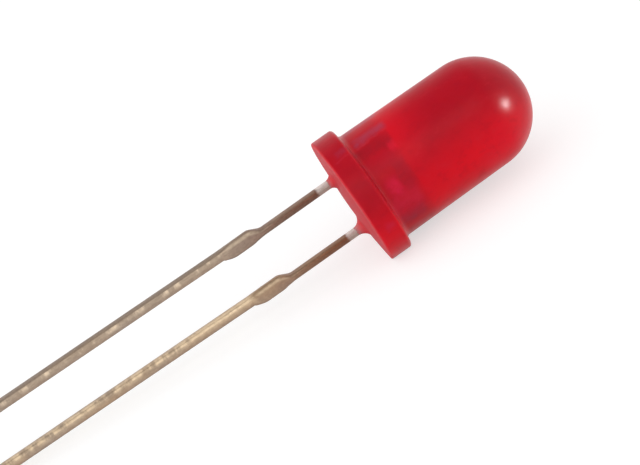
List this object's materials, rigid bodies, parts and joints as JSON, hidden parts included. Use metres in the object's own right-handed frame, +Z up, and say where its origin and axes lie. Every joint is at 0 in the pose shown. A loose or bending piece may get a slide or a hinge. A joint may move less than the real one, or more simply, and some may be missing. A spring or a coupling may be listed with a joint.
{
  "type": "through hole led",
  "caption": "Round through hole LED: flanged diffused red resin lens, chip wired in a reflector cup, and stamped leads with standoffs.",
  "frame": {"origin": "centre of the flange's seating face, on the lens axis", "axes": "+X runs along the body to the dome, +Z is up, and the leads lie one above the other in the XZ plane; the part lies on its flange flat and its shorter lead's tip, so the lens axis rises to the dome by 3.7 degrees"},
  "size_m": [0.0363, 0.0058, 0.0055],
  "materials": {
    "red_resin": "satin",
    "cathode_metal": "satin",
    "anode_metal": "satin",
    "chip": "satin",
    "silver_adhesive": "matte",
    "gold_wire": "gloss"
  },
  "bodies": {
    "root": {"lens_body": "red_resin", "cathode_lead": "cathode_metal", "anode_lead": "anode_metal", "led_die": "chip", "die_attach": "silver_adhesive", "bond_wire": "gold_wire"}
  },
  "joints": []
}
